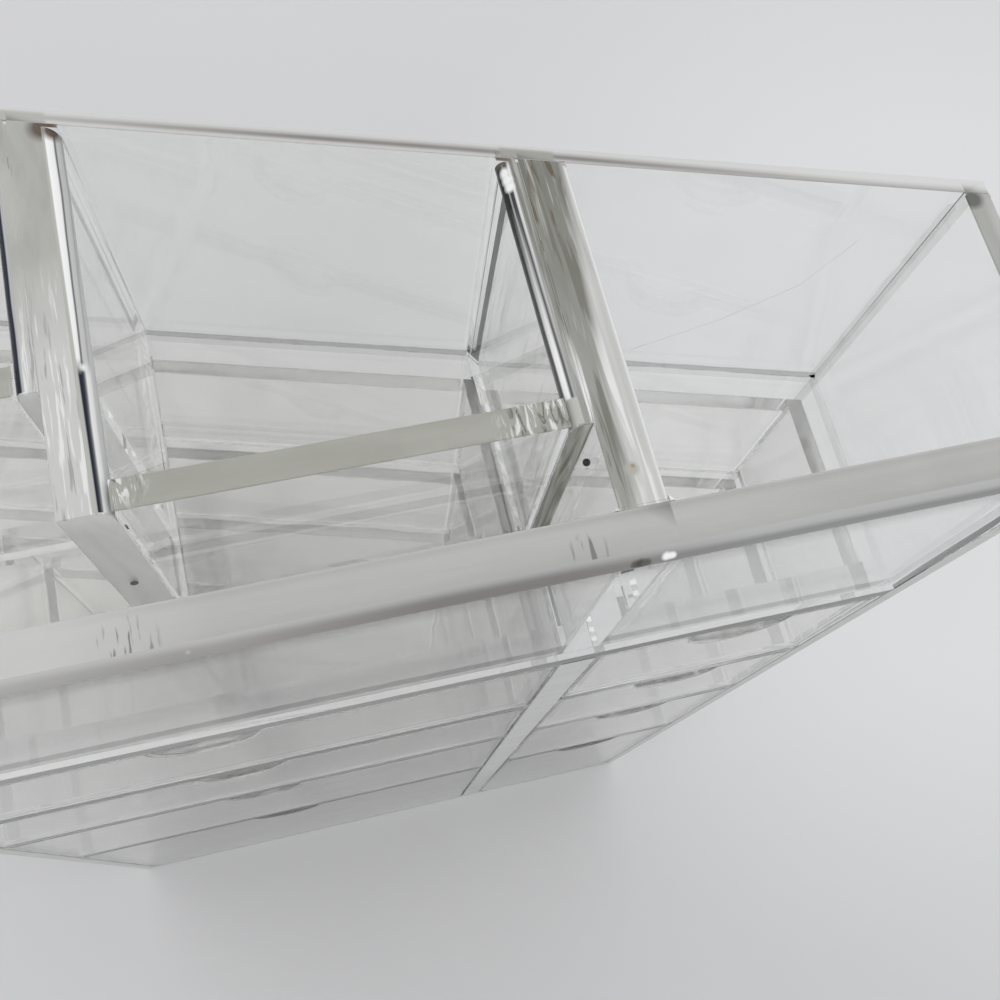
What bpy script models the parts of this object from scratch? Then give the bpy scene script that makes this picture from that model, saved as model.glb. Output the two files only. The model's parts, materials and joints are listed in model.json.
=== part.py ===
"""Clear acrylic makeup organizer: open top compartments above two bays of sliding drawers.

The front, the cross walls and the dividers are square to each other. The back panel runs at an
angle to them, so the organizer is deeper at its left end and each column's cell steps back with it.
The left and middle cells have a thin cheek on their right side, and the left divider stops at the
middle cross wall, so that one stepped pocket runs along the front.
X runs to the right, Y to the rear and Z up. The origin is under the middle of the outer box.
"""
import math

import bmesh
import bpy

# Driving sizes, in metres
middle_cell_width = 0.048
side_cell_width = 0.046
cell_depth = 0.0377
height = 0.26
middle_depth = 0.0514
back_angle = math.radians(14.9)

# Sheet thicknesses
side_sheet = 0.003
back_sheet = 0.002
front_sheet = 0.006
divider_sheet = 0.0055
cheek_sheet = 0.0025
cross_sheet = 0.0035
floor_sheet = 0.003
shelf_sheet = 0.003
base_sheet = 0.004
drawer_front_sheet = 0.004
drawer_side_sheet = 0.0025
drawer_back_sheet = 0.0025
drawer_bottom_sheet = 0.0025

# Clear heights of the top tray and of the rows of drawers above the lowest row
tray_height = 0.0445
first_row_height = 0.033
second_row_height = 0.033
third_row_height = 0.05

# Fits and edges
glue_gap = 0.0003
drawer_side_clearance = 0.0006
drawer_top_clearance = 0.0006
drawer_rear_clearance = 0.0015
drawer_wall_drop = 0.003
polished_edge = 0.0004

# Finger notch in the top edge of each drawer front
notch_radius = 0.008
notch_steps = 12

# Plan places that follow from the driving sizes
middle_cell_edge = middle_cell_width / 2
divider_near_x = middle_cell_edge + cheek_sheet
divider_far_x = divider_near_x + divider_sheet
inner_half_width = divider_far_x + side_cell_width
left_cell_middle = side_cell_width / 2 - inner_half_width
outer_half_width = inner_half_width + side_sheet
back_slope = math.tan(back_angle)
back_sheet_along_y = back_sheet / math.cos(back_angle)
rear_corner_reach = back_slope * outer_half_width + back_sheet_along_y
front_y = -(front_sheet + middle_depth + rear_corner_reach) / 2
tray_front_y = front_y + front_sheet
back_middle_y = tray_front_y + middle_depth

# Heights that follow from the driving sizes
on_base_z = base_sheet + glue_gap
tray_floor_z = height - tray_height
tray_floor_low_z = tray_floor_z - floor_sheet
first_shelf_z = tray_floor_low_z - first_row_height
second_shelf_z = first_shelf_z - shelf_sheet - second_row_height
third_shelf_z = second_shelf_z - shelf_sheet - third_row_height

# Tints of the sheets, which are greener where the sheet is thick
sheet_tint = (0.93, 0.96, 0.95, 1.0)
thick_tint = (0.86, 0.91, 0.89, 1.0)
drawer_tint = (0.95, 0.97, 0.96, 1.0)
polish_roughness = 0.04
acrylic_ior = 1.49


def clear_scene():
    for item in list(bpy.context.scene.objects):
        bpy.data.objects.remove(item, do_unlink=True)


def acrylic(name, tint):
    material = bpy.data.materials.new(name)
    material.use_nodes = True
    shader = material.node_tree.nodes["Principled BSDF"]
    shader.inputs["Base Color"].default_value = tint
    shader.inputs["Roughness"].default_value = polish_roughness
    shader.inputs["Metallic"].default_value = 0.0
    shader.inputs["IOR"].default_value = acrylic_ior
    shader.inputs["Transmission Weight"].default_value = 1.0
    return material


def back_face(clearance=0.0):
    """The line that lies a clearance in front of the back panel, as y for a given x."""
    return lambda x: back_middle_y - back_slope * x - clearance / math.cos(back_angle)


def square_line(y):
    """A line parallel to the front, as y for a given x."""
    return lambda x: y


def ease_edges(item):
    bevel = item.modifiers.new("Polished edge", "BEVEL")
    bevel.width = polished_edge
    bevel.segments = 1
    bevel.limit_method = "ANGLE"


def add_sheet(name, corners, direction, place, tint, carrier=None):
    """Extrudes a flat outline into a sheet with eased edges and stands it at its place."""
    shape = bmesh.new()
    outline = shape.faces.new([shape.verts.new(corner) for corner in corners])
    raised = bmesh.ops.extrude_face_region(shape, geom=[outline])
    moved = [part for part in raised["geom"] if isinstance(part, bmesh.types.BMVert)]
    bmesh.ops.translate(shape, vec=direction, verts=moved)
    bmesh.ops.recalc_face_normals(shape, faces=shape.faces)
    mesh = bpy.data.meshes.new(name)
    shape.to_mesh(mesh)
    shape.free()
    item = bpy.data.objects.new(name, mesh)
    bpy.context.scene.collection.objects.link(item)
    item.location = place
    if carrier is not None:
        item.parent = carrier
        item.location = [a - b for a, b in zip(place, carrier.location)]
    mesh.materials.append(acrylic(name + " acrylic", tint))
    ease_edges(item)
    return item


def plan_sheet(name, x_range, front_line, rear_line, z_range, tint, carrier=None):
    """A sheet with straight sides along Y, between a front line and a rear line."""
    left, right = x_range
    low, high = z_range
    middle_x = (left + right) / 2
    middle_y = (front_line(middle_x) + rear_line(middle_x)) / 2
    outline = [(left, front_line(left)), (right, front_line(right)),
               (right, rear_line(right)), (left, rear_line(left))]
    corners = [(x - middle_x, y - middle_y, 0.0) for x, y in outline]
    return add_sheet(name, corners, (0.0, 0.0, high - low), (middle_x, middle_y, low), tint, carrier)


def base_and_walls():
    whole_width = (-outer_half_width, outer_half_width)
    behind_back = back_face(-back_sheet)
    plan_sheet("base_panel", whole_width, square_line(front_y), behind_back, (0.0, base_sheet), thick_tint)
    plan_sheet("back_panel", whole_width, back_face(), behind_back, (on_base_z, height), sheet_tint)
    for name, x_range in (("left_side_panel", (-outer_half_width, -inner_half_width)),
                          ("right_side_panel", (inner_half_width, outer_half_width))):
        plan_sheet(name, x_range, square_line(front_y), back_face(glue_gap), (on_base_z, height), sheet_tint)


def cross_wall_front(cell_middle):
    """How far forward the cross wall of a cell reaches. It leaves the cell its full depth."""
    return back_face()(cell_middle) - cell_depth - cross_sheet


def tray():
    """The open compartments: floor, thick front wall, dividers, cheeks and stepped cross walls."""
    between_sides = (-inner_half_width + glue_gap, inner_half_width - glue_gap)
    on_floor = (tray_floor_z + glue_gap, height)
    against_back = back_face(glue_gap)
    plan_sheet("tray_floor", between_sides, square_line(front_y), against_back,
               (tray_floor_low_z, tray_floor_z), sheet_tint)
    plan_sheet("tray_front_wall", between_sides, square_line(front_y), square_line(tray_front_y),
               on_floor, thick_tint)
    left_front = square_line(cross_wall_front(left_cell_middle))
    middle_front = square_line(cross_wall_front(0.0))
    left_divider_right = -middle_cell_edge
    left_divider_left = left_divider_right - divider_sheet
    left_cheek_left = left_divider_left - cheek_sheet
    walls = (("left_divider", left_divider_left, left_divider_right, middle_front, thick_tint),
             ("left_cheek", left_cheek_left, left_divider_left - glue_gap, left_front, sheet_tint),
             ("middle_cheek", middle_cell_edge, divider_near_x - glue_gap, middle_front, sheet_tint),
             ("centre_divider", divider_near_x, divider_far_x, square_line(tray_front_y + glue_gap), thick_tint))
    for name, left, right, front_line, tint in walls:
        plan_sheet(name, (left, right), front_line, against_back, on_floor, tint)
    crossings = (("left_cross_wall", left_cell_middle, between_sides[0], left_cheek_left - glue_gap),
                 ("middle_cross_wall", 0.0, left_divider_right + glue_gap, middle_cell_edge - glue_gap))
    for name, cell_middle, left, right in crossings:
        front = cross_wall_front(cell_middle)
        plan_sheet(name, (left, right), square_line(front), square_line(front + cross_sheet), on_floor, thick_tint)


def drawer_bays():
    """The clear width of each bay of drawers, left and right of the partition."""
    return {"wide": (-inner_half_width, divider_near_x), "narrow": (divider_far_x, inner_half_width)}


def shelves():
    """The top of each shelf, from the highest down."""
    return {"first": first_shelf_z, "second": second_shelf_z, "third": third_shelf_z}


def drawer_rows():
    """The clear height of each row of drawers, from the highest down."""
    return {"first": (first_shelf_z, tray_floor_low_z),
            "second": (second_shelf_z, first_shelf_z - shelf_sheet),
            "third": (third_shelf_z, second_shelf_z - shelf_sheet),
            "fourth": (base_sheet, third_shelf_z - shelf_sheet)}


def partition_and_shelves():
    plan_sheet("drawer_partition", (divider_near_x, divider_far_x), square_line(front_y),
               back_face(glue_gap), (on_base_z, tray_floor_low_z - glue_gap), thick_tint)
    for bay, (left, right) in drawer_bays().items():
        for level, top_z in shelves().items():
            plan_sheet(f"{bay}_{level}_shelf", (left + glue_gap, right - glue_gap), square_line(front_y),
                       back_face(glue_gap), (top_z - shelf_sheet, top_z), sheet_tint)


def notched_front(name, width, tall, place, carrier):
    """A drawer front with a half-round finger notch in the middle of its top edge."""
    half_width = width / 2
    corners = [(-half_width, 0.0, 0.0), (half_width, 0.0, 0.0), (half_width, 0.0, tall)]
    for step in range(notch_steps + 1):
        turn = math.pi * step / notch_steps
        corners.append((notch_radius * math.cos(turn), 0.0, tall - notch_radius * math.sin(turn)))
    corners.append((-half_width, 0.0, tall))
    return add_sheet(name, corners, (0.0, drawer_front_sheet, 0.0), place, drawer_tint, carrier)


def drawer(name, x_range, z_range):
    """Five glued sheets. Their empty stands at the front of the bay, where the drawer slides out."""
    left = x_range[0] + drawer_side_clearance
    right = x_range[1] - drawer_side_clearance
    low = z_range[0] + glue_gap
    high = z_range[1] - drawer_top_clearance
    carrier = bpy.data.objects.new(name + "_slide", None)
    carrier.location = ((left + right) / 2, front_y, low)
    bpy.context.scene.collection.objects.link(carrier)

    notched_front(name + "_front", right - left, high - low, tuple(carrier.location), carrier)
    behind_front = square_line(front_y + drawer_front_sheet + glue_gap)
    rear = back_face(drawer_rear_clearance)
    wall_low = low + drawer_bottom_sheet + glue_gap
    wall_high = high - drawer_wall_drop
    plan_sheet(name + "_bottom", (left, right), behind_front, rear,
               (low, low + drawer_bottom_sheet), drawer_tint, carrier)
    inner_left = left + drawer_side_sheet
    inner_right = right - drawer_side_sheet
    for side, wall_range in (("left", (left, inner_left)), ("right", (inner_right, right))):
        plan_sheet(f"{name}_{side}_side", wall_range, behind_front, rear,
                   (wall_low, wall_high), drawer_tint, carrier)
    plan_sheet(name + "_back", (inner_left + glue_gap, inner_right - glue_gap),
               back_face(drawer_rear_clearance + drawer_back_sheet), rear,
               (wall_low, wall_high), drawer_tint, carrier)


def drawers():
    for bay, x_range in drawer_bays().items():
        for row, z_range in drawer_rows().items():
            drawer(f"{bay}_{row}_drawer", x_range, z_range)


clear_scene()
base_and_walls()
tray()
partition_and_shelves()
drawers()
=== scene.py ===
"""The look of a clear acrylic makeup organizer: polished sheets, cut edges, cement seams and wear.

All sizes are in metres. X runs to the right, Y to the rear and Z up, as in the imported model.
A reach is a pair of distances between which something sets in. It may run backwards.
"""
import json
import math
import random

import bmesh
import bpy
from mathutils import Matrix, Vector

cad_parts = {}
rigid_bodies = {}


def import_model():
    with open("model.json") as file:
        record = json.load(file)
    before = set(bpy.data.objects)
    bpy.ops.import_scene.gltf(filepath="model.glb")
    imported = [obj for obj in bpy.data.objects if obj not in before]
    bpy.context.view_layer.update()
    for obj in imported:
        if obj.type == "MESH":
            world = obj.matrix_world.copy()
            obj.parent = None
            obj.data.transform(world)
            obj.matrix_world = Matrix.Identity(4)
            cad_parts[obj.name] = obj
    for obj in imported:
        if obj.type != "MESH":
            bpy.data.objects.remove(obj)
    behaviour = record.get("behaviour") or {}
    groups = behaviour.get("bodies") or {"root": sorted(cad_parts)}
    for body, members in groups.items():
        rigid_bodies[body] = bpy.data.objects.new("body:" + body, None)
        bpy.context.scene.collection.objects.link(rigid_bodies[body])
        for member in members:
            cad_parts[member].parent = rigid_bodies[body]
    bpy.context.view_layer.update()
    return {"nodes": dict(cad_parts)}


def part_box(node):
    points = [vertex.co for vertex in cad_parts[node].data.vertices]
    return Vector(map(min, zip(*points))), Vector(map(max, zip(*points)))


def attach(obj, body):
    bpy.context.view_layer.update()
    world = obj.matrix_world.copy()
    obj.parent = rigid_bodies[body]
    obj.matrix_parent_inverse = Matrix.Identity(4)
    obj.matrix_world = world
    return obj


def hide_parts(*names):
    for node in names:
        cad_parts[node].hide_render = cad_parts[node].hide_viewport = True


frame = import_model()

# Camera, at the photographed view
camera_place = Vector((-0.0045, -0.06616, 0.35705))
camera_aim = Vector((0.00874, -0.03783, 0.26))
camera_roll = math.radians(12.651)
camera_lens = 36.587
camera_sensor = 36.0
camera_shift = (0.0396, 0.0741)
camera_near = 0.005

# The angle between the back panel and the front
back_angle = math.radians(14.9)
back_slope = math.tan(back_angle)

# Rounding of the sheets' edges
edge_rounding = 0.00018
edge_steps = 2
bead_rounding = 0.0011
bead_steps = 8
front_bead_rounding = 0.0014
left_bead_rounding = 0.0018
cheek_bead_rounding = 0.0015
pale_bead_rounding = 0.00055
drawer_rounding = 0.0004

# Finger notch in the top edge of each drawer front
notch_radius = 0.008
notch_steps = 32

# Edges that turn more than these angles are eased, and stay crisp in the shading
eased_angle = math.radians(60.0)
crease_angle = math.radians(50.0)
flat_face_weight = 100

# Cement
seam_step = 0.001
seam_evenness_share = 0.6
seam_top_gap = 0.002
floor_seam_leg = 0.00055
corner_seam_leg = 0.001
fine_seam_leg = 0.00018
bright_seam_leg = 0.0005
clearance = 0.00006
film_clearance = 0.00002
cutting_tolerance = 0.000006

# How far behind a wall the light that comes down through it leaves the floor below
passing_reach = 0.0045

# Wear: two bubbles, and a scratch in the back panel, given by x and z
bubble_flattening_share = 0.55
dark_bubble_radius = 0.00045
dark_bubble_inset = 0.0005
dark_bubble_y = -0.0266
dark_bubble_z = 0.2549
end_bubble_radius = 0.0005
end_bubble_inset = 0.0004
end_bubble_x = -0.0268
end_bubble_z = 0.2386
scratch_leg = 0.00009
scratch_path = ((0.0482, 0.2195), (0.0588, 0.2295), (0.0666, 0.2394), (0.0701, 0.2499))

# Light and table
room_colour = (0.955, 0.958, 0.962)
table_half_size = 6.0
table_drop = 0.0002
table_tones = ((0.3, (0.67, 0.67, 0.68)), (0.7, (0.70, 0.70, 0.705)))
# Painted shade on the table towards the front, and a painted pool of light towards the right
shaded_way = (0.3, -0.95, 0.0)
shaded_reach = (0.08, 0.16)
shaded_tone = (0.645, 0.647, 0.655)
light_pool_centre = (0.26, 0.08, 0.0)
light_pool_radius = 0.24
light_pool_tone = (0.76, 0.763, 0.77)
light_bounces = 40
gloss_bounces = 12

# Clear sheets: tint where clean and where smeared, roughness where clean and where smeared, and wave
acrylic_ior = 1.49
passing_ior = 1.15
sheet_look = ((0.992, 0.996, 0.993), (0.975, 0.98, 0.976), (0.0, 0.03), 0.02)
drawer_look = ((0.990, 0.985, 0.980), (0.975, 0.97, 0.962), (0.0, 0.05), 0.03)
wave_height = 0.001
streak_height = 0.0002
cement_height = 0.0003
clear_streaks = ((0.97, 0.972, 0.968), (1.0, 1.0, 1.0))

# Patterns: how fine, how much drawn out along each axis, how detailed and how twisted. Shifts keep them apart
smears = {"scale": 70.0, "detail": 4.0}
waves = {"scale": 45.0}
cement_streaks = {"scale": 180.0, "detail": 4.0, "distortion": 0.8}
cut_streaks = {"scale": 120.0, "detail": 4.0, "distortion": 0.5}
top_clouds = {"scale": 130.0, "distortion": 0.4}
top_scratches = {"scale": 420.0, "detail": 4.0, "distortion": 0.5, "shift": 3.0}
shards = {"scale": 480.0, "stretch": (4.2, 0.26, 1.0), "distortion": 0.4, "shift": 1.0}
feathers = {"scale": 500.0, "stretch": (2.4, 0.3, 1.0), "distortion": 0.6, "shift": 2.0}
long_streaks = {"scale": 520.0, "stretch": (2.8, 0.12, 1.0), "distortion": 0.4, "shift": 7.0}
lane_ripples = {"scale": 300.0, "stretch": (3.0, 0.1, 1.0), "distortion": 0.7, "shift": 5.0}
comb_marks = {"scale": 650.0, "stretch": (2.0, 0.5, 1.0), "distortion": 1.2, "shift": 4.0}
tick_marks = {"scale": 700.0, "stretch": (2.0, 0.3, 1.0), "detail": 2.0, "shift": 6.0}
rim_drift = {"scale": 50.0, "detail": 2.0}
bead_drift = {"scale": 60.0, "detail": 2.0}
table_mottle = {"scale": 3.0}
coarse_cement_scale = 300.0
fine_cement_scale = 420.0

# Where the sheets' tint changes
back_zone_reach = (0.03, 0.02)
floor_zone_reach = (0.03, 0.024)
floor_corner_x_reach = (0.028, 0.024)
floor_corner_y_reach = (-0.017, -0.023)
# The painted shade below the front wall's rim: the drops below the rim over which it sets in, and an inset
# from the outer face
rim_shade_drops = (0.0058, 0.0014)
rim_shade_inset = 0.001

# Marks in the rims: x, y and radius
left_stain = (-0.0255, 0.0232, 0.0022)
divider_stain = (0.0243, 0.0100, 0.0018)
green_spot = (0.0290, -0.0302, 0.0010)
rusty_speck = (0.0292, -0.0299, 0.0003)
right_ticks = (0.0222, -0.0383, 0.0024)
left_ticks = (-0.0243, -0.0388, 0.0038)
left_comb_x = -0.0235
left_comb_radius = 0.004
corner_speck_offset = (0.0006, -0.0012)
corner_speck_radius = 0.0016

# Where the rims' patterns change
crazing_way = (-0.5, 1.0, 0.0)
crazing_reach = (0.020, 0.008)
feather_reach = (-0.006, 0.003)
paler_front_reach = (0.0, -0.02)
lane_way = (1.0, -0.081, 0.0)
lane_reach = (0.0302, 0.0312)
lane_glint_reach = (-0.012, -0.02)
comb_reach = (0.0155, 0.0185)
# Where the painted highlight at the front wall's left end sets in
painted_highlight_end_reach = (-0.016, -0.032)

# The dark line along the back panel's rim, and how it stops at the dividers
rim_line_drift_reach = (0.02, 0.07)
rim_line_darkest_x = 0.019
rim_line_fading_reach = (0.008, 0.045)
rim_line_pale_reach = (0.025, 0.07)
rim_line_tones = ((0.0, (0.68, 0.68, 0.67)), (0.18, (0.50, 0.49, 0.48)), (0.32, (0.22, 0.205, 0.20)),
                  (0.46, (0.19, 0.18, 0.175)), (0.62, (0.44, 0.43, 0.42)), (0.85, (0.66, 0.66, 0.65)))
meeting_left_inset = 0.0005
meeting_right_inset = 0.001
meeting_fade = 0.0005

# Bands of the polished beads, by share of the way inward, each with a grey or a colour. They are painted
# light and shade that stand for the refraction in clear edges
# The deepest painted shade in the beads' dark lines, a dark blue
painted_shade_blue = (0.012, 0.018, 0.045)
cheek_rear_bands = ((0.0, 0.16), (0.05, 0.03), (0.30, 0.02), (0.35, 0.36), (0.40, 0.38), (0.45, 0.05),
                    (0.64, 0.06), (0.75, 0.72), (0.84, 0.76), (0.93, 0.34), (1.0, 0.31))
cheek_front_bands = ((0.0, 0.26), (0.05, 0.12), (0.14, 0.12), (0.22, 0.90), (0.46, 0.97), (0.56, 0.50),
                     (0.62, 0.10), (0.72, 0.14), (0.82, 0.44), (1.0, 0.38))
left_rear_bands = ((0.0, 0.62), (0.08, 0.44), (0.14, 0.60), (0.32, 0.58), (0.37, 0.20), (0.42, 0.18),
                   (0.48, 0.88), (0.86, 0.95), (1.0, 0.48))
left_front_bands = ((0.0, 0.60), (0.08, 0.80), (0.24, 0.84), (0.32, 0.22), (0.40, 0.05), (0.48, painted_shade_blue),
                    (0.64, (0.02, 0.022, 0.035)), (0.76, 0.34), (0.90, 0.52), (1.0, 0.50))
far_left_bands = ((0.0, 0.5), (0.12, 0.3), (0.3, 0.03), (0.7, painted_shade_blue), (0.85, 0.5), (1.0, 0.45))
front_bands = ((0.0, (0.235, 0.225, 0.22)), (0.34, (0.225, 0.215, 0.21)), (0.52, (0.27, 0.26, 0.255)),
               (0.74, 0.36), (1.0, 0.44))
front_right_bands = ((0.0, 0.31), (0.2, 0.285), (0.34, 0.36), (0.5, 0.45), (1.0, 0.48))
pale_bands = ((0.0, 0.62), (0.4, 0.85), (1.0, 0.6))
floor_front_bands = ((0.0, 0.36), (0.5, 0.33), (0.75, 0.26), (1.0, 0.30))

# Where the beads' bands turn into the second pattern, lean and fade
cheek_turn_reach = (0.004, -0.016)
cheek_end_fade = 0.0003
left_turn_reach = (-0.0065, -0.0085)
left_lean_reach = (0.014, -0.014)
left_lean_shares = (0.06, -0.16)
left_fade_way = (-1.0, -0.0061, 0.0)
left_fade_reach = (0.00137, 0.00150)
front_turn_reach = (0.020, 0.040)
front_fade_reaches = ((-0.006, 0.016), (0.020, 0.040))

# Stains and painted glints in the beads of the dividers: x from the divider's edge, y, radius and tone. The
# white ones are painted glints, the dark ones stains
glint_white = (0.93, 0.93, 0.93)
cheek_stains_and_glints = ((0.0004, 0.0084, 0.0010, glint_white), (0.0005, 0.0074, 0.0010, glint_white),
                (0.0006, 0.0064, 0.0009, glint_white), (0.0003, 0.0105, 0.0017, (0.16, 0.15, 0.12)))
left_stains_and_glints = ((-0.0006, -0.0076, 0.0007, (0.90, 0.90, 0.89)), (-0.0005, 0.0228, 0.0016, (0.13, 0.10, 0.08)))

# Dark marks and painted glints in the front wall's bead: x, how far inward, how far below the rim, radius and
# tone. The white and pale ones are painted glints
front_marks_and_glints = ((0.0267, 0.0001, 0.0007, 0.0007, (0.12, 0.12, 0.11)),
                (0.0273, 0.0001, 0.0007, 0.0008, (0.08, 0.08, 0.07)),
                (0.0279, 0.0001, 0.0007, 0.0007, (0.12, 0.12, 0.11)),
                (0.0301, 0.0002, 0.0004, 0.0007, (0.95, 0.95, 0.94)),
                (0.0307, 0.0002, 0.0004, 0.0006, (0.95, 0.95, 0.94)),
                (-0.0188, 0.0001, 0.0, 0.0006, (0.80, 0.80, 0.79)),
                (-0.0184, 0.0001, 0.0, 0.0005, (0.80, 0.80, 0.79)))

across = Vector((1.0, 0.0, 0.0))
along = Vector((0.0, 1.0, 0.0))
upward = Vector((0.0, 0.0, 1.0))
back_facing = Vector((math.sin(back_angle), math.cos(back_angle), 0.0))
sides = {"left": -across, "right": across, "front": -along, "rear": along, "bottom": -upward, "top": upward}


def low_of(node):
    return Vector(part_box(node)[0])


def high_of(node):
    return Vector(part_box(node)[1])


rim_z = high_of("tray_front_wall").z
tray_z = high_of("tray_floor").z
front_inner_y = high_of("tray_front_wall").y
front_outer_y = low_of("tray_front_wall").y
left_wall_x = high_of("left_side_panel").x
right_wall_x = low_of("right_side_panel").x
back_left = Vector((low_of("back_panel").x, 0.0, 0.0))
back_left.y = low_of("back_panel").y + back_slope * (high_of("back_panel").x - back_left.x)
back_sheet = (high_of("back_panel").y - back_left.y) * math.cos(back_angle)


def back_y(x):
    """The back panel's inner face, as y for a given x."""
    return back_left.y - back_slope * (x - back_left.x)


# Materials

class Finish:
    """A material under construction, with short names for the nodes that it uses."""

    def __init__(self, name, **values):
        self.material = bpy.data.materials.new(name)
        self.material.use_nodes = True
        self.nodes = self.material.node_tree.nodes
        self.join = self.material.node_tree.links.new
        self.shader = self.nodes["Principled BSDF"]
        self.place = self.nodes.new("ShaderNodeTexCoord").outputs["Object"]
        for key, value in values.items():
            self.shader.inputs[key.replace("_", " ")].default_value = value

    def math(self, operation, first, second):
        node = self.nodes.new("ShaderNodeMath")
        node.operation = operation
        for socket, value in zip(node.inputs, (first, second)):
            if isinstance(value, (int, float)):
                socket.default_value = value
            else:
                self.join(value, socket)
        return node.outputs["Value"]

    def both(self, first, second):
        return self.math("MULTIPLY", first, second)

    def either(self, first, second):
        return self.math("MAXIMUM", first, second)

    def noise(self, scale, stretch=(1.0, 1.0, 1.0), detail=3.0, distortion=0.0, shift=0.0):
        """Noise on Object coordinates, drawn out along the axes whose stretch is small."""
        mapping = self.nodes.new("ShaderNodeMapping")
        mapping.inputs["Scale"].default_value = stretch
        mapping.inputs["Location"].default_value = (shift, shift, shift)
        node = self.nodes.new("ShaderNodeTexNoise")
        node.inputs["Scale"].default_value = scale
        node.inputs["Detail"].default_value = detail
        node.inputs["Distortion"].default_value = distortion
        self.join(self.place, mapping.inputs["Vector"])
        self.join(mapping.outputs["Vector"], node.inputs["Vector"])
        return node.outputs["Fac"]

    def spread(self, source, low, high, to_low=0.0, to_high=1.0):
        """Maps the range from low to high to another range, and holds it at the ends."""
        node = self.nodes.new("ShaderNodeMapRange")
        limits = {"From Min": low, "From Max": high, "To Min": to_low, "To Max": to_high}
        for socket, value in limits.items():
            node.inputs[socket].default_value = value
        self.join(source, node.inputs["Value"])
        return node.outputs["Result"]

    def distance_along(self, direction):
        node = self.nodes.new("ShaderNodeVectorMath")
        node.operation = "DOT_PRODUCT"
        node.inputs[1].default_value = direction
        self.join(self.place, node.inputs[0])
        return node.outputs["Value"]

    def spot(self, centre, radius):
        """One at the centre, fading to nothing at the radius."""
        node = self.nodes.new("ShaderNodeVectorMath")
        node.operation = "DISTANCE"
        node.inputs[1].default_value = centre
        self.join(self.place, node.inputs[0])
        return self.spread(node.outputs["Value"], radius / 2, radius, 1.0, 0.0)

    def rim_spot(self, x, y, radius):
        return self.spot((x, y, rim_z), radius)

    def ramp(self, source, stops):
        """Colours or greys by share of the way."""
        node = self.nodes.new("ShaderNodeValToRGB")
        elements = node.color_ramp.elements
        elements[0].position, elements[-1].position = stops[0][0], stops[-1][0]
        inner = [elements.new(share) for share, colour in stops[1:-1]]
        for element, (share, colour) in zip((elements[0], *inner, elements[-1]), stops):
            element.color = (*colour, 1.0) if isinstance(colour, tuple) else (colour, colour, colour, 1.0)
        self.join(source, node.inputs["Fac"])
        return node.outputs["Color"]

    def mix(self, share, first, second):
        """Blends a colour, or a socket, into another by a share."""
        node = self.nodes.new("ShaderNodeMix")
        node.data_type = "RGBA"
        factor, colour_a, colour_b = (node.inputs[index] for index in (0, 6, 7))
        for socket, value in ((factor, share), (colour_a, first), (colour_b, second)):
            if isinstance(value, tuple):
                socket.default_value = (*value, 1.0)
            elif isinstance(value, float):
                socket.default_value = value
            else:
                self.join(value, socket)
        return node.outputs[2]

    def bump(self, height, strength, distance):
        node = self.nodes.new("ShaderNodeBump")
        node.inputs["Strength"].default_value = strength
        node.inputs["Distance"].default_value = distance
        self.join(height, node.inputs["Height"])
        self.join(node.outputs["Normal"], self.shader.inputs["Normal"])

    def colour(self, source):
        self.join(source, self.shader.inputs["Base Color"])
        return self.material


def polished_face(name, look, zones=()):
    """A clear sheet's broad face, faintly smeared in patches and slightly wavy.

    Each zone has its limits, each a direction and the reach along it where the zone sets in, and its tint.
    """
    tint, smeared_tint, haze, wave = look
    finish = Finish(name, Transmission_Weight=1.0, IOR=acrylic_ior)
    smeared = finish.noise(**smears)
    finish.join(finish.spread(smeared, 0.45, 0.75, *haze), finish.shader.inputs["Roughness"])
    finish.bump(finish.noise(**waves), wave, wave_height)
    colour = finish.ramp(smeared, ((0.45, tint), (0.75, smeared_tint)))
    for limits, zone_tint in zones:
        share = 1.0
        for direction, start, end in limits:
            share = finish.both(share, finish.spread(finish.distance_along(direction), start, end))
        colour = finish.mix(share, colour, zone_tint)
    return finish.colour(colour)


def cemented_face(name, dark, light, stretch=(1.0, 1.0, 1.0), ior=1.0):
    """A face that is cemented to its neighbour: light goes straight through, past streaks of cement."""
    finish = Finish(name, Transmission_Weight=1.0, IOR=ior, Roughness=0.02)
    streaks = finish.noise(stretch=stretch, **cement_streaks)
    return finish.colour(finish.ramp(streaks, ((0.32, dark), (0.44, light))))


def cut_edge(name, dark, light, clear_share, stretch, roughness=0.3):
    """A plain cut and polished edge, cloudy and faintly streaked."""
    finish = Finish(name, Transmission_Weight=clear_share, IOR=acrylic_ior, Roughness=roughness)
    streaks = finish.noise(stretch=stretch, **cut_streaks)
    finish.bump(streaks, 0.1, streak_height)
    return finish.colour(finish.ramp(streaks, ((0.35, dark), (0.65, light))))


def marked_top(name, dark, light, stretch):
    """Starts the finish of a wall's top edge: a cloudy tone with fine marks. Gives its colour too."""
    finish = Finish(name, Transmission_Weight=0.12, IOR=acrylic_ior, Roughness=0.3)
    scratched = finish.noise(stretch=stretch, **top_scratches)
    finish.bump(scratched, 0.15, streak_height)
    ground = finish.ramp(finish.noise(stretch=stretch, **top_clouds), ((0.3, dark), (0.7, light)))
    return finish, finish.mix(finish.spread(scratched, 0.56, 0.70, 0.0, 0.5), ground, dark)


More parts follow.
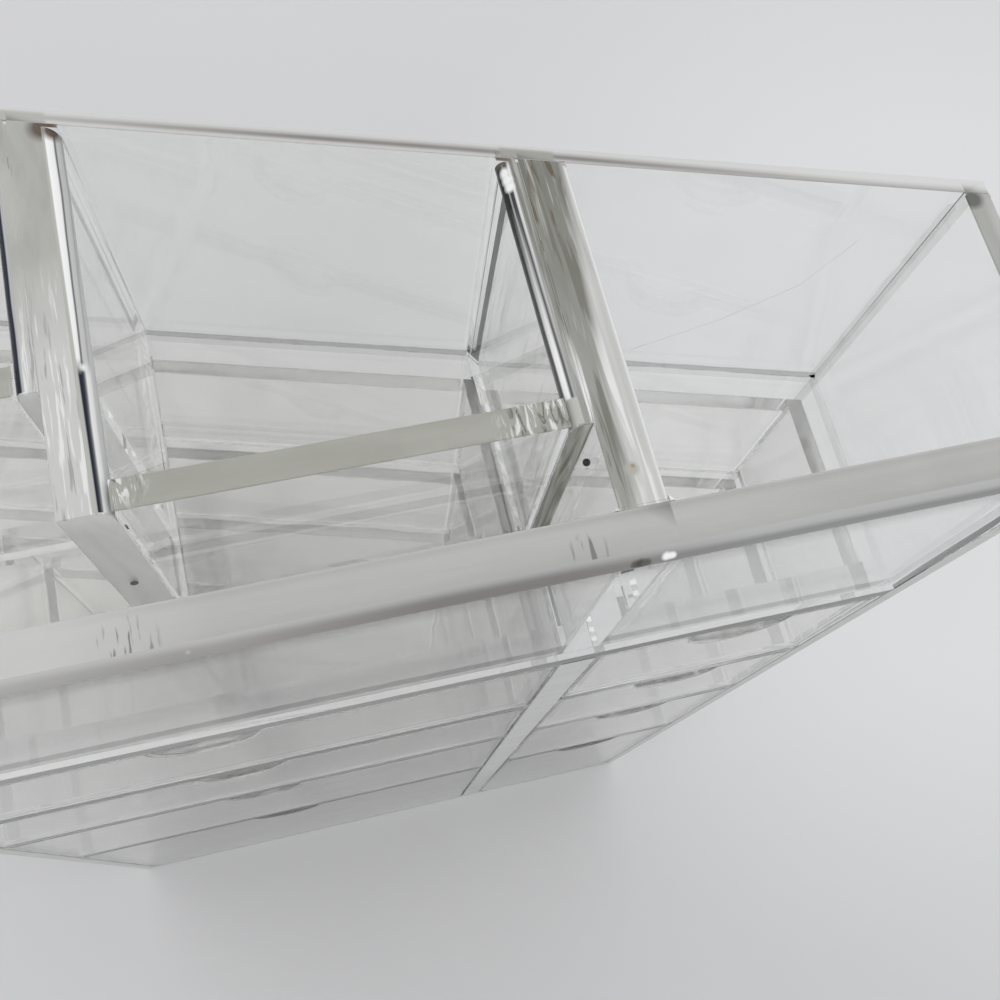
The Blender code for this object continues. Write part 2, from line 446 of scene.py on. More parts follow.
def left_divider_top():
    """Pale and even at the rear, crazed with long white and grey shards towards the front."""
    finish, colour = marked_top("Left divider top", (0.41, 0.41, 0.38), (0.50, 0.50, 0.47), (3.0, 0.7, 1.0))
    crazed = finish.spread(finish.distance_along(crazing_way), *crazing_reach)
    colour = finish.mix(crazed, colour, (0.62, 0.62, 0.61))
    broken = finish.noise(**shards)
    white = finish.both(crazed, finish.spread(broken, 0.56, 0.62))
    grey = finish.both(crazed, finish.spread(broken, 0.40, 0.34))
    colour = finish.mix(white, colour, (0.84, 0.84, 0.83))
    colour = finish.mix(grey, colour, (0.38, 0.38, 0.36))
    return finish.colour(finish.mix(finish.rim_spot(*left_stain), colour, (0.10, 0.07, 0.05)))


def centre_divider_top():
    """A dark lane with brown feathers beside a pale lane that widens to the front, and painted glints near
    the front.
    """
    finish, colour = marked_top("Centre divider top", (0.20, 0.20, 0.175), (0.28, 0.28, 0.25),
                                (4.0, 0.6, 1.0))
    rearward = finish.distance_along(along)
    feathered = finish.spread(finish.noise(**feathers), 0.56, 0.64)
    brown = finish.both(finish.spread(rearward, *feather_reach), feathered)
    colour = finish.mix(finish.spread(rearward, *paler_front_reach, 0.0, 0.40), colour, (0.48, 0.48, 0.46))
    streaks = finish.noise(**long_streaks)
    colour = finish.mix(finish.spread(streaks, 0.56, 0.62, 0.0, 0.8), colour, (0.16, 0.16, 0.13))
    colour = finish.mix(finish.spread(streaks, 0.43, 0.37, 0.0, 0.6), colour, (0.56, 0.56, 0.53))
    colour = finish.mix(brown, colour, (0.13, 0.10, 0.06))
    lane = finish.spread(finish.distance_along(lane_way), *lane_reach)
    ripples = finish.noise(**lane_ripples)
    pale = finish.ramp(ripples, ((0.34, (0.36, 0.36, 0.33)), (0.46, (0.58, 0.58, 0.56)),
                                 (0.64, (0.70, 0.70, 0.69))))
    colour = finish.mix(lane, colour, pale)
    # Painted glints, near the front
    glints = finish.both(finish.spread(rearward, *lane_glint_reach), finish.spread(ripples, 0.57, 0.62))
    colour = finish.mix(glints, colour, (0.85, 0.85, 0.84))
    for mark, tone in ((green_spot, (0.46, 0.47, 0.40)), (rusty_speck, (0.40, 0.30, 0.18)),
                       (divider_stain, (0.16, 0.13, 0.10))):
        colour = finish.mix(finish.rim_spot(*mark), colour, tone)
    return finish.colour(colour)


def cross_wall_top():
    """Grey-green, with a comb of cement marks at both ends."""
    finish, colour = marked_top("Cross wall top", (0.36, 0.36, 0.32), (0.42, 0.42, 0.38), (0.6, 2.5, 1.0))
    comb = finish.noise(**comb_marks)
    ends = finish.either(finish.spread(finish.distance_along(across), *comb_reach),
                         finish.rim_spot(left_comb_x, high_of("middle_cross_wall").y, left_comb_radius))
    colour = finish.mix(finish.both(ends, finish.spread(comb, 0.54, 0.60)), colour, (0.80, 0.80, 0.79))
    colour = finish.mix(finish.both(ends, finish.spread(comb, 0.42, 0.36)), colour, (0.16, 0.16, 0.14))
    return finish.colour(colour)


def front_wall_top():
    """Beige-grey, with painted light and shade across its width and a painted highlight at the left end, with
    small ticks where the dividers point at it.
    """
    finish, colour = marked_top("Front wall top", (0.43, 0.43, 0.40), (0.54, 0.54, 0.52), (0.25, 2.4, 1.0))
    outward = finish.spread(finish.distance_along(along), front_inner_y, front_outer_y)
    # Painted light and shade across the top: a light line at the inner edge, darker towards the outer edge
    shade = finish.ramp(outward, ((0.0, 0.66), (0.07, 0.42), (0.2, 0.54), (0.55, 0.50), (0.72, 0.44),
                                  (0.85, 0.38)))
    colour = finish.mix(0.5, colour, shade)
    # Painted highlight towards the left end
    pale_end = finish.spread(finish.distance_along(across), *painted_highlight_end_reach, 0.0, 0.8)
    colour = finish.mix(pale_end, colour, (0.66, 0.66, 0.65))
    near = finish.either(finish.rim_spot(*right_ticks), finish.rim_spot(*left_ticks))
    ticks = finish.both(near, finish.spread(finish.noise(**tick_marks), 0.55, 0.60))
    return finish.colour(finish.mix(ticks, colour, (0.22, 0.22, 0.21)))


def side_panel_top():
    """Grey-green, with a dark speck of cement where the right side meets the back."""
    finish, colour = marked_top("Side panel top", (0.42, 0.425, 0.40), (0.54, 0.545, 0.52), (3.0, 0.5, 1.0))
    x_offset, y_offset = corner_speck_offset
    speck = finish.rim_spot(right_wall_x + x_offset, back_y(right_wall_x) + y_offset, corner_speck_radius)
    return finish.colour(finish.mix(speck, colour, (0.14, 0.14, 0.13)))


def back_panel_top():
    """Nearly clear, with one dark line near its inner edge that stops where the dividers meet it."""
    finish = Finish("Back panel top", Transmission_Weight=0.05, IOR=acrylic_ior, Roughness=0.4)
    inner = back_y(0.0) * math.cos(back_angle)
    place = finish.distance_along(across)
    inward = finish.spread(finish.distance_along(back_facing), inner, inner + back_sheet)
    inward = finish.math("ADD", inward, finish.spread(place, *rim_line_drift_reach, 0.0, 0.36))
    line = finish.ramp(inward, rim_line_tones)
    from_darkest = finish.math("ABSOLUTE", finish.math("SUBTRACT", place, rim_line_darkest_x), 0.0)
    faded = finish.either(finish.spread(from_darkest, *rim_line_fading_reach, 0.0, 0.55),
                          finish.spread(finish.noise(**rim_drift), 0.45, 0.7, 0.0, 0.3))
    pale = finish.mix(finish.spread(place, *rim_line_pale_reach), (0.68, 0.68, 0.67), (0.755, 0.755, 0.75))
    colour = finish.mix(faded, line, pale)
    for cheek, divider, tone in (("middle_cheek", "centre_divider", (0.36, 0.36, 0.33)),
                                 ("left_cheek", "left_divider", (0.46, 0.46, 0.43))):
        left = low_of(cheek).x + meeting_left_inset
        right = high_of(divider).x - meeting_right_inset
        meets = finish.both(finish.spread(place, left, left + meeting_fade),
                            finish.spread(place, right - meeting_fade, right, 1.0, 0.0))
        colour = finish.mix(finish.both(meets, finish.spread(inward, 0.9, 0.6)), colour, tone)
    return finish.colour(colour)


def polished_bead(name, inward, start, size, first, second=None, turn=None, lean=None, run=along,
                  stains_and_glints=(), fades=(), roughness=0.15, drift=0.03):
    """A polished round edge, whose painted bands of light and shade run along it and stand for the refraction
    in the clear edge.

    The bands go by share of the way inward from the edge. Their first pattern gives way to the second
    over the turn, a reach along the run. The lean is a reach along the run and the two shares by which
    the bands are moved at its ends. Each of the stains and painted glints is a centre, a radius and a tone.
    Each fade is a direction, its reach, a share and the tone that it fades to.
    """
    finish = Finish(name, IOR=acrylic_ior, Roughness=roughness, Specular_IOR_Level=0.15)
    across_bead = finish.spread(finish.distance_along(inward), start, start + size)
    shift = finish.spread(finish.noise(**bead_drift), 0.3, 0.7, -drift, drift)
    moved = finish.math("ADD", across_bead, shift)
    if lean:
        moved = finish.math("ADD", moved, finish.spread(finish.distance_along(run), *lean))
    colour = finish.ramp(moved, first)
    if second:
        turned = finish.spread(finish.distance_along(run), *turn)
        colour = finish.mix(turned, colour, finish.ramp(moved, second))
    for direction, low, high, share, tone in fades:
        faded = finish.spread(finish.distance_along(direction), low, high, 0.0, share)
        colour = finish.mix(faded, colour, tone)
    # Stains, and white spots that are painted glints
    for centre, radius, tone in stains_and_glints:
        colour = finish.mix(finish.spot(centre, radius), colour, tone)
    return finish.colour(colour)


def cement(name, dark, light, scale, stretch=(1.0, 1.0, 1.0), roughness=0.3):
    """Dried cement, uneven and a little cloudy."""
    finish = Finish(name, IOR=acrylic_ior, Roughness=roughness)
    clouds = finish.noise(scale, stretch, detail=5.0, distortion=1.0)
    finish.bump(clouds, 0.5, cement_height)
    return finish.colour(finish.ramp(clouds, ((0.35, dark), (0.65, light))))


# The finishes of this organizer
clear_face = polished_face("Clear sheet", sheet_look)
back_face = polished_face("Back sheet", sheet_look, [(((across, *back_zone_reach),), (0.963, 0.966, 0.956))])
floor_face = polished_face("Tray floor sheet", sheet_look, [
    (((across, *floor_zone_reach),), (0.988, 0.99, 0.982)),
    (((across, *floor_corner_x_reach), (along, *floor_corner_y_reach)), (0.90, 0.905, 0.875))])
# The front wall's sheet darkens just below its rim with painted shade
front_face = polished_face("Front wall sheet", sheet_look, [
    (((upward, *[rim_z - drop for drop in rim_shade_drops]), (-along, 0.0, -front_outer_y - rim_shade_inset)),
     (0.42, 0.41, 0.40))])
drawer_face = polished_face("Clear drawer sheet", drawer_look)

joint = cemented_face("Cemented joint", *clear_streaks)
streaked_joint = cemented_face("Streaked joint", (0.84, 0.84, 0.80), (1.0, 1.0, 0.998), (1.0, 3.0, 0.35))
passing_face = cemented_face("Sheet behind a joint", *clear_streaks, ior=passing_ior)
seam_cement = cemented_face("Seam cement", (0.56, 0.562, 0.56), (0.66, 0.662, 0.66))
corner_cement = cemented_face("Corner cement", (0.82, 0.825, 0.82), (0.89, 0.895, 0.89))
faint_cement = cemented_face("Faint cement", (0.84, 0.845, 0.84), (0.92, 0.925, 0.92))

plain_edge = cut_edge("Cut edge", (0.58, 0.59, 0.57), (0.66, 0.67, 0.65), 0.3, (0.5, 0.5, 3.0))
panel_end = cut_edge("Back panel end", (0.84, 0.845, 0.83), (0.93, 0.935, 0.925), 0.9, (0.5, 0.5, 3.0), 0.2)
soft_edge = cut_edge("Drawer edge", (0.965, 0.965, 0.955), (0.99, 0.99, 0.985), 0.95, (0.5, 3.0, 0.5), 0.2)
pale_end = cut_edge("Left divider end", (0.74, 0.74, 0.72), (0.92, 0.92, 0.91), 0.3, (2.0, 1.0, 0.4))

# Its near-white is partly the cement's own colour and partly painted highlight
cement_with_painted_highlight = cement("Bright cement", (0.50, 0.51, 0.48), (0.97, 0.97, 0.96), fine_cement_scale,
                       (1.4, 1.0, 0.16), 0.2)
green_cement = cement("Green end cement", (0.16, 0.16, 0.11), (0.70, 0.70, 0.64), fine_cement_scale,
                      (2.4, 1.0, 0.14))
bubble_grey = cement("Grey bubble", (0.10, 0.105, 0.11), (0.24, 0.245, 0.25), coarse_cement_scale)
bubble_dark = cement("Dark bubble", (0.01, 0.01, 0.01), (0.03, 0.03, 0.03), coarse_cement_scale,
                     roughness=0.1)

centre_top = centre_divider_top()
left_top = left_divider_top()
cross_top = cross_wall_top()
front_top = front_wall_top()
side_top = side_panel_top()
rim_top = back_panel_top()

cheek_edge = low_of("middle_cheek").x
left_edge = high_of("left_divider").x
crossing_y = high_of("middle_cross_wall").y
cheek_bead = polished_bead(
    "Cheek bead", across, cheek_edge, cheek_bead_rounding, cheek_rear_bands, cheek_front_bands,
    cheek_turn_reach,
    stains_and_glints=[((cheek_edge + offset, y, rim_z), radius, tone) for offset, y, radius, tone in cheek_stains_and_glints],
    fades=[(-along, -crossing_y, -crossing_y + cheek_end_fade, 1.0, (0.52, 0.52, 0.48))])
left_bead = polished_bead(
    "Left divider bead", -across, -left_edge, left_bead_rounding, left_rear_bands, left_front_bands,
    left_turn_reach, (*left_lean_reach, *left_lean_shares),
    stains_and_glints=[((left_edge + offset, y, rim_z), radius, tone) for offset, y, radius, tone in left_stains_and_glints],
    fades=[(left_fade_way, *[reach - left_edge for reach in left_fade_reach], 1.0, (0.48, 0.48, 0.45))])
far_left_bead = polished_bead("Far left bead", across, low_of("left_cheek").x, bead_rounding,
                              far_left_bands, drift=0.12)
front_bead = polished_bead(
    "Front wall bead", along, front_outer_y, front_bead_rounding, front_bands, front_right_bands,
    front_turn_reach, run=across, roughness=0.3,
    stains_and_glints=[((x, front_outer_y + inward, rim_z - drop), radius, tone)
            for x, inward, drop, radius, tone in front_marks_and_glints],
    fades=[(-across, *reach, 0.34, tone)
           for reach, tone in zip(front_fade_reaches, ((0.60, 0.60, 0.58), (0.62, 0.62, 0.60)))])
pale_bead = polished_bead("Pale bead", -across, -high_of("centre_divider").x, pale_bead_rounding,
                          pale_bands, roughness=0.25)
dull_edge = polished_bead("Tray floor front edge", across, left_wall_x, right_wall_x - left_wall_x,
                          floor_front_bands, roughness=0.5, drift=0.05)


# Sheets

def finish_piece(shape, name, materials, body, nodes=()):
    """Makes a piece of a finished shape. It shades smoothly, but stays crisp at its square edges."""
    for face in shape.faces:
        face.smooth = True
    for edge in shape.edges:
        edge.smooth = edge.calc_face_angle(0.0) < crease_angle
    mesh = bpy.data.meshes.new(name)
    shape.to_mesh(mesh)
    shape.free()
    for material in materials:
        mesh.materials.append(material)
    piece = bpy.data.objects.new(name, mesh)
    bpy.context.scene.collection.objects.link(piece)
    weighted = piece.modifiers.new("Flat faces stay flat", "WEIGHTED_NORMAL")
    weighted.weight = flat_face_weight
    weighted.keep_sharp = True
    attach(piece, body)
    if nodes:
        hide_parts(*nodes)
    return piece


def extruded(outline, direction):
    """Raises a flat outline along a direction into a closed body."""
    shape = bmesh.new()
    face = shape.faces.new([shape.verts.new(corner) for corner in outline])
    raised = bmesh.ops.extrude_face_region(shape, geom=[face])
    moved = [part for part in raised["geom"] if isinstance(part, bmesh.types.BMVert)]
    bmesh.ops.translate(shape, vec=direction, verts=moved)
    bmesh.ops.recalc_face_normals(shape, faces=shape.faces)
    return shape


def rounded(shape, edges, rounding, steps):
    """Rounds edges and returns the new faces."""
    made = bmesh.ops.bevel(shape, geom=edges, offset=rounding, offset_type="OFFSET", segments=steps,
                           profile=0.5, affect="EDGES", clamp_overlap=True, material=-1)
    return made["faces"]


def facing(face):
    """The name of the side that a face turns to."""
    return max(sides, key=lambda side: face.normal.dot(sides[side]))


def body_of(node):
    return frame["nodes"][node].parent.name.removeprefix("body:")


def plan_outline(node, front_slants, rear_slants):
    low, high = low_of(node), high_of(node)
    fall = back_slope * (high.x - low.x)
    front_left = low.y + fall if front_slants else low.y
    rear_right = high.y - fall if rear_slants else high.y
    plan = [(low.x, front_left), (high.x, low.y), (high.x, rear_right), (low.x, high.y)]
    return [(x, y, low.z) for x, y in plan], high.z - low.z


def mark_contact(shape, side, neighbours, index):
    """Cuts the outline of cemented neighbours into a side of a sheet and gives it a material."""
    low = Vector([min(places) for places in zip(*[low_of(node) for node in neighbours])])
    high = Vector([max(places) for places in zip(*[high_of(node) for node in neighbours])])
    if side == "bottom":
        high.y += passing_reach
    flat = [axis for axis in range(3) if abs(sides[side][axis]) < 0.5]
    for axis in flat:
        for place in (low, high):
            bmesh.ops.bisect_plane(shape, geom=[*shape.verts, *shape.edges, *shape.faces],
                                   dist=cutting_tolerance, plane_co=place,
                                   plane_no=Matrix.Identity(3)[axis])
    for face in shape.faces:
        centre = face.calc_center_median()
        if facing(face) == side and all(low[axis] < centre[axis] < high[axis] for axis in flat):
            face.material_index = index


def sheet(node, main, edges, beads=None, contacts=(), bead_size=bead_rounding,
          front_slants=False, rear_slants=True):
    """A sheet in the place of a CAD sheet.

    The main material covers every side that edges doesn't name. Beads names sides whose top edge is
    rounded off in a material of its own. Each contact is a side, the neighbours that are cemented to
    it or stand across the sheet from it, and the material of that patch. The sharp edges that are left
    are eased in the first edge material.
    """
    beads = beads or {}
    patches = [material for side, neighbours, material in contacts]
    materials = list(dict.fromkeys([main, *edges.values(), *beads.values(), *patches]))
    outline, tall = plan_outline(node, front_slants, rear_slants)
    shape = extruded(outline, (0.0, 0.0, tall))
    for face in shape.faces:
        face.material_index = materials.index(edges.get(facing(face), main))
    for side, neighbours, material in contacts:
        mark_contact(shape, side, neighbours, materials.index(material))
    for side, material in beads.items():
        rims = [edge for edge in shape.edges if {facing(face) for face in edge.link_faces} == {side, "top"}]
        for face in rounded(shape, rims, bead_size, bead_steps):
            face.material_index = materials.index(material)
    glued = [materials.index(material) for material in materials if material in (joint, streaked_joint)]
    sharp = [edge for edge in shape.edges if edge.calc_face_angle() > eased_angle
             and not any(face.material_index in glued for face in edge.link_faces)]
    eased = materials.index(next(iter(edges.values())))
    for face in rounded(shape, sharp, edge_rounding, edge_steps):
        face.material_index = eased
    return finish_piece(shape, node + "_sheet", materials, body_of(node), [node])


def notched_sheet(node):
    """A drawer front with a half-round finger notch in the middle of its top edge."""
    low, high = low_of(node), high_of(node)
    middle = (low.x + high.x) / 2
    outline = [(low.x, low.y, low.z), (high.x, low.y, low.z), (high.x, low.y, high.z)]
    for step in range(notch_steps + 1):
        turn = math.pi * step / notch_steps
        x, z = middle + notch_radius * math.cos(turn), high.z - notch_radius * math.sin(turn)
        outline.append((x, low.y, z))
    outline.append((low.x, low.y, high.z))
    shape = extruded(outline, (0.0, high.y - low.y, 0.0))
    materials = [drawer_face, soft_edge]
    for face in shape.faces:
        broad = facing(face) in ("front", "rear")
        face.material_index = materials.index(drawer_face if broad else soft_edge)
    sharp = [edge for edge in shape.edges if edge.calc_face_angle() > eased_angle]
    for face in rounded(shape, sharp, drawer_rounding, edge_steps):
        face.material_index = materials.index(soft_edge)
    return finish_piece(shape, node + "_sheet", materials, body_of(node), [node])


def build_tray():
    """The back, the sides, and the thick front, the dividers and the cross walls on the tray's floor."""
    glued = {"bottom": joint, "rear": joint}
    boxed_in = {"left": joint, "right": joint, "bottom": joint}
    panels = ("left_side_panel", "right_side_panel")
    walls = ("left_divider", "left_cheek", "middle_cheek", "centre_divider")
    crossings = ("left_cross_wall", "middle_cross_wall")
    pairs = (("left_cheek", "left_divider"), ("middle_cheek", "centre_divider"))
    sheet("back_panel", back_face,
          {"top": rim_top, "left": panel_end, "right": panel_end, "bottom": joint},
          contacts=[*[("front", (node,), joint) for node in (*walls, *panels)],
                    *[("rear", pair, passing_face) for pair in pairs]], front_slants=True)
    for node, side, neighbours in (("left_side_panel", "right", ("tray_front_wall", "left_cross_wall")),
                                   ("right_side_panel", "left", ("tray_front_wall",))):
        sheet(node, clear_face, {"top": side_top, "front": plain_edge, **glued},
              contacts=[(side, (neighbour,), joint) for neighbour in neighbours])
    sheet("tray_front_wall", front_face, {"top": front_top, **boxed_in},
          {"front": front_bead}, [("rear", ("centre_divider",), joint)],
          bead_size=front_bead_rounding, rear_slants=False)
    sheet("left_divider", clear_face, {"top": left_top, "front": pale_end, **glued},
          {"right": left_bead},
          [("left", ("left_cheek",), streaked_joint), ("right", ("middle_cross_wall",), joint)],
          bead_size=left_bead_rounding)
    sheet("left_cheek", clear_face,
          {"top": left_top, "front": pale_end, "right": streaked_joint, **glued}, {"left": far_left_bead},
          [("left", ("left_cross_wall",), joint)])
    sheet("middle_cheek", clear_face,
          {"top": centre_top, "front": green_cement, "right": streaked_joint, **glued}, {"left": cheek_bead},
          [("left", ("middle_cross_wall",), joint)], bead_size=cheek_bead_rounding)
    sheet("centre_divider", clear_face, {"top": centre_top, "front": joint, **glued},
          {"right": pale_bead}, [("left", ("middle_cheek",), streaked_joint)],
          bead_size=pale_bead_rounding)
    for node in crossings:
        sheet(node, clear_face, {"top": cross_top, **boxed_in}, rear_slants=False)
    standing = [*[(node,) for node in crossings], ("tray_front_wall",)]
    sheet("tray_floor", floor_face,
          {"front": dull_edge, "left": joint, "right": joint, "rear": joint},
          contacts=[*[("top", nodes, joint) for nodes in (*[(node,) for node in walls], *standing)],
                    *[("bottom", nodes, passing_face) for nodes in (*pairs, *standing)]])


def build_lower_case():
    """The base, the partition between the bays, and the shelves."""
    around = ("front", "left", "right", "rear")
    sheet("base_panel", clear_face, {side: plain_edge for side in around})
    sheet("drawer_partition", clear_face,
          {"front": plain_edge, "rear": joint, "top": joint, "bottom": joint})
    for node in frame["nodes"]:
        if node.endswith("_shelf"):
            sheet(node, clear_face, {side: soft_edge for side in around})


def build_drawers():
    """Five sheets for each drawer, which ride on the drawer's own body."""
    for node in frame["nodes"]:
        if "_drawer_" not in node:
            continue
        if node.endswith("_front"):
            notched_sheet(node)
        elif node.endswith("_bottom"):
            sheet(node, drawer_face,
                  {"rear": soft_edge, "left": soft_edge, "right": soft_edge, "front": joint})
        elif node.endswith("_side"):
            sheet(node, drawer_face,
                  {"top": soft_edge, "rear": soft_edge, "front": joint, "bottom": joint})
        else:
            sheet(node, drawer_face,
                  {"top": soft_edge, "left": joint, "right": joint, "bottom": joint}, front_slants=True)


# Cement and wear

def film(name, x_range, front_line, rear_line, z_range, finishes):
    """Cement that fills the gap between two sheets. A line gives Y for a given X.

    Sides that finishes doesn't name pass light on as a cemented joint.
    """
    left, right = x_range[0] + film_clearance, x_range[1] - film_clearance
    plan = [(left, front_line(left) + film_clearance), (right, front_line(right) + film_clearance),
            (right, rear_line(right) - film_clearance), (left, rear_line(left) - film_clearance)]
    low_z, high_z = z_range[0] + film_clearance, z_range[1] - film_clearance
    shape = extruded([(x, y, low_z) for x, y in plan], (0.0, 0.0, high_z - low_z))
    materials = list(dict.fromkeys([joint, *finishes.values()]))
    for face in shape.faces:
        face.material_index = materials.index(finishes.get(facing(face), joint))
    return finish_piece(shape, name, materials, "case")


def square(y):
    return lambda x: y


def rear_of(node):
    """The rear edge of a wall that ends along the back panel."""
    gap = back_y(low_of(node).x) - high_of(node).y
    return lambda x: back_y(x) - gap


def build_films():
    """Cement in the gaps beside, behind, in front of and below the tray's walls."""
    tops = {"left_divider": left_top, "left_cheek": left_top,
            "middle_cheek": centre_top, "centre_divider": centre_top,
            "left_cross_wall": cross_top, "middle_cross_wall": cross_top, "tray_front_wall": front_top,
            "left_side_panel": side_top, "right_side_panel": side_top}
    upright = ("left_divider", "left_cheek", "middle_cheek", "centre_divider")
    tall = (tray_z, rim_z)
    clear_sides = {"left": clear_face, "right": clear_face}
    for cheek, divider, end in (("left_cheek", "left_divider", pale_end),
                                ("middle_cheek", "centre_divider", green_cement)):
        film(f"{divider}_film", (high_of(cheek).x, low_of(divider).x), square(low_of(cheek).y),
             rear_of(cheek), tall, {"top": tops[divider], "front": end})
    for wall, left, right in (("left_cross_wall", "left_side_panel", "left_cheek"),
                              ("middle_cross_wall", "left_divider", "middle_cheek"),
                              ("tray_front_wall", "left_side_panel", "right_side_panel")):
        low, high = low_of(wall), high_of(wall)
        for end, x_range in (("left", (high_of(left).x, low.x)), ("right", (high.x, low_of(right).x))):
            film(f"{wall}_{end}_film", x_range, square(low.y), square(high.y), tall, {"top": tops[wall]})
    for wall in (*upright, "left_side_panel", "right_side_panel"):
        low, high = low_of(wall), high_of(wall)
        film(f"{wall}_rear_film", (low.x, high.x), rear_of(wall), back_y, (low.z, rim_z),
             {"top": tops[wall], **clear_sides})
    low, high = low_of("centre_divider"), high_of("centre_divider")
    film("centre_divider_front_film", (low.x, high.x), square(front_inner_y), square(low.y), tall,
         {"top": centre_top, **clear_sides})
    for wall in (*upright, "left_cross_wall", "middle_cross_wall", "tray_front_wall"):
        low, high = low_of(wall), high_of(wall)
        rear = square(high.y) if wall.endswith("wall") else rear_of(wall)
        finishes = {"front": clear_face, "rear": clear_face, **clear_sides}
        if wall == "tray_front_wall":
            finishes["front"] = dull_edge
        film(f"{wall}_foot_film", (low.x, high.x), square(low.y), rear, (tray_z, low.z), finishes)


def fillet(name, corners, first, second, leg, material, seed, unevenness=0.15):
    """A fillet of cement along a path of corners, between two faces that meet there.

    Its legs swell and shrink along the way, by chance but the same way each run.
    """
    chance = random.Random(seed)
    corners = [Vector(corner) for corner in corners]
    path = [corners[0]]
    for start, end in zip(corners, corners[1:]):
        steps = max(1, round((end - start).length / seam_step))
        path += [start.lerp(end, (step + 1) / steps) for step in range(steps)]
    shape = bmesh.new()
    ring = [shape.verts.new(path[0] + reach) for reach in (Vector(), first * leg, second * leg)]
    shape.faces.new(ring)
    swell = 1.0
    for point in path[1:]:
        fresh = chance.uniform(1.0 - 2 * unevenness, 1.0 + 2 * unevenness)
        swell = seam_evenness_share * swell + (1.0 - seam_evenness_share) * fresh
        rim = {edge for vert in ring for edge in vert.link_edges if edge.other_vert(vert) in ring}
        raised = bmesh.ops.extrude_edge_only(shape, edges=list(rim))
        moved = [part for part in raised["geom"] if isinstance(part, bmesh.types.BMVert)]
        ring = [min(moved, key=lambda vert: (vert.co - old.co).length) for old in ring]
        for vert, reach in zip(ring, (Vector(), first * leg * swell, second * leg * swell)):
            vert.co = point + reach
    shape.faces.new(ring)
    bmesh.ops.recalc_face_normals(shape, faces=shape.faces)
    return finish_piece(shape, name, [material], "case")


def build_seams():
    """Fillets where the tray's walls stand on its floor and in its upright corners."""
    floor_z, top_z = tray_z + clearance, rim_z - seam_top_gap
    forward = -back_facing
    bays = {"left": (left_wall_x, low_of("left_cheek").x),
            "middle": (high_of("left_divider").x, low_of("middle_cheek").x),
            "right": (high_of("centre_divider").x, right_wall_x)}
    for seed, (bay, (left, right)) in enumerate(bays.items()):
        ends = [(x, back_y(x) - clearance, floor_z) for x in (left + clearance, right - clearance)]
        fillet(f"{bay}_floor_seam", ends, forward, upward, floor_seam_leg, seam_cement, seed)
    for seed, name, wall_x, leg, material in (
            (10, "right_corner_seam", right_wall_x, corner_seam_leg, corner_cement),
            (11, "middle_corner_seam", low_of("middle_cheek").x, fine_seam_leg, faint_cement)):
        x = wall_x - clearance
        ends = [(x, back_y(x) - clearance, z) for z in (floor_z, top_z)]
        fillet(name, ends, forward, -across, leg, material, seed)
    divider_left = low_of("centre_divider").x - clearance
    divider_right = high_of("centre_divider").x + clearance
    inner_y = front_inner_y + clearance
    for seed, name, x, side in ((20, "divider_front_seam_1", divider_left, -across),
                                (21, "divider_front_seam_2", divider_right, across)):
        fillet(name, [(x, inner_y, floor_z), (x, inner_y, rim_z - clearance)],
               along, side, bright_seam_leg, cement_with_painted_highlight, seed, unevenness=0.2)
    cheek_y = low_of("middle_cheek").y - clearance
    fillet("divider_foot_seam", [(divider_left, inner_y, floor_z), (divider_left, cheek_y, floor_z)],
           -across, upward, bright_seam_leg, cement_with_painted_highlight, 31, unevenness=0.5)
    fillet("right_wall_foot_seam", [(right_wall_x - clearance, inner_y, floor_z),
                                    (right_wall_x - clearance, back_y(right_wall_x) - clearance, floor_z)],
           -across, upward, fine_seam_leg, corner_cement, 32)


def bubble(name, centre, radius, flattened, material):
    """A small bubble on a face. It is flattened along each axis by that much of the full flattening."""
    shape = bmesh.new()
    bmesh.ops.create_icosphere(shape, subdivisions=3, radius=radius)
    bmesh.ops.scale(shape, vec=Vector((1.0, 1.0, 1.0)) - flattened * bubble_flattening_share,
                    verts=shape.verts)
    bmesh.ops.translate(shape, vec=Vector(centre), verts=shape.verts)
    return finish_piece(shape, name, [material], "case")


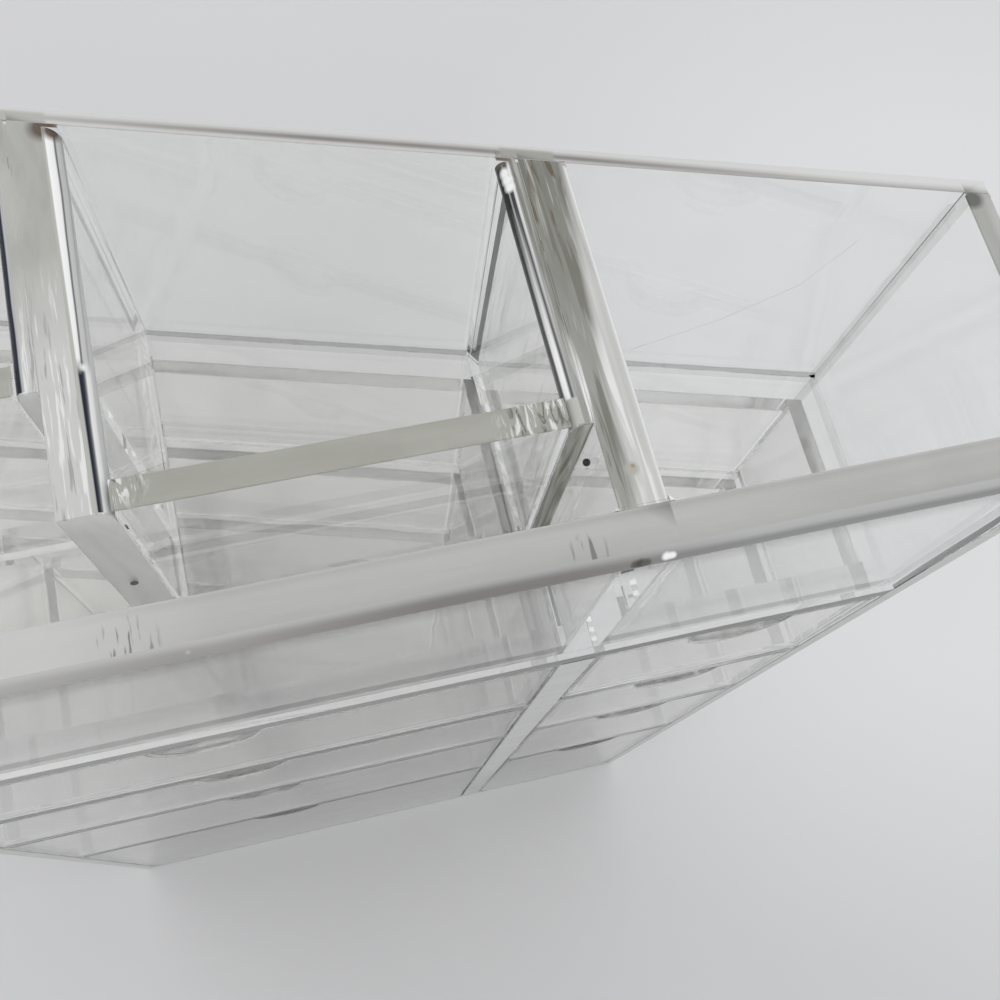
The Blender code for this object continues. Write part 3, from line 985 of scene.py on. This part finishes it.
def build_wear():
    """A dark bubble by the centre divider, a grey one on the left divider's end, and a scratch."""
    dark_bubble_x = low_of("centre_divider").x - dark_bubble_inset
    bubble("dark_bubble", (dark_bubble_x, dark_bubble_y, dark_bubble_z), dark_bubble_radius, Vector(),
           bubble_dark)
    end_bubble_y = low_of("left_divider").y - end_bubble_inset
    bubble("end_bubble", (end_bubble_x, end_bubble_y, end_bubble_z), end_bubble_radius, along, bubble_grey)
    fillet("back_scratch", [(x, back_y(x) - clearance, z) for x, z in scratch_path],
           upward, -back_facing, scratch_leg, corner_cement, 40)


build_tray()
build_lower_case()
build_drawers()
build_films()
build_seams()
build_wear()


# Table, room, light and camera

def build_stage():
    """A pale mottled table, with painted shade towards the front and a painted pool of light at the right, in
    an evenly lit room.
    """
    finish = Finish("Pale table", Roughness=0.9)
    ground = finish.ramp(finish.noise(**table_mottle), table_tones)
    shaded = finish.spread(finish.distance_along(shaded_way), *shaded_reach)
    ground = finish.mix(shaded, ground, shaded_tone)
    finish.colour(finish.mix(finish.spot(light_pool_centre, light_pool_radius), ground, light_pool_tone))
    shape = bmesh.new()
    bmesh.ops.create_grid(shape, x_segments=1, y_segments=1, size=table_half_size)
    mesh = bpy.data.meshes.new("Table")
    shape.to_mesh(mesh)
    shape.free()
    mesh.materials.append(finish.material)
    table = bpy.data.objects.new("Table", mesh)
    bpy.context.scene.collection.objects.link(table)
    table.location.z = -table_drop

    world = bpy.data.worlds.new("Soft room")
    bpy.context.scene.world = world
    world.use_nodes = True
    background = world.node_tree.nodes["Background"]
    background.inputs["Color"].default_value = (*room_colour, 1.0)
    background.inputs["Strength"].default_value = 1.0


def build_camera():
    """The photographed view, steeply from above and rolled."""
    data = bpy.data.cameras.new("Camera")
    data.sensor_width = camera_sensor
    data.lens = camera_lens
    data.shift_x, data.shift_y = camera_shift
    data.clip_start = camera_near
    camera = bpy.data.objects.new("Camera", data)
    bpy.context.scene.collection.objects.link(camera)
    turn = (camera_aim - camera_place).to_track_quat("-Z", "Y").to_matrix()
    roll = Matrix.Rotation(camera_roll, 3, "Z")
    camera.matrix_world = Matrix.Translation(camera_place) @ (turn @ roll).to_4x4()
    bpy.context.scene.camera = camera


build_stage()
build_camera()
scene = bpy.context.scene
scene.view_settings.view_transform = "Standard"
scene.cycles.max_bounces = light_bounces
scene.cycles.transmission_bounces = light_bounces
scene.cycles.glossy_bounces = gloss_bounces
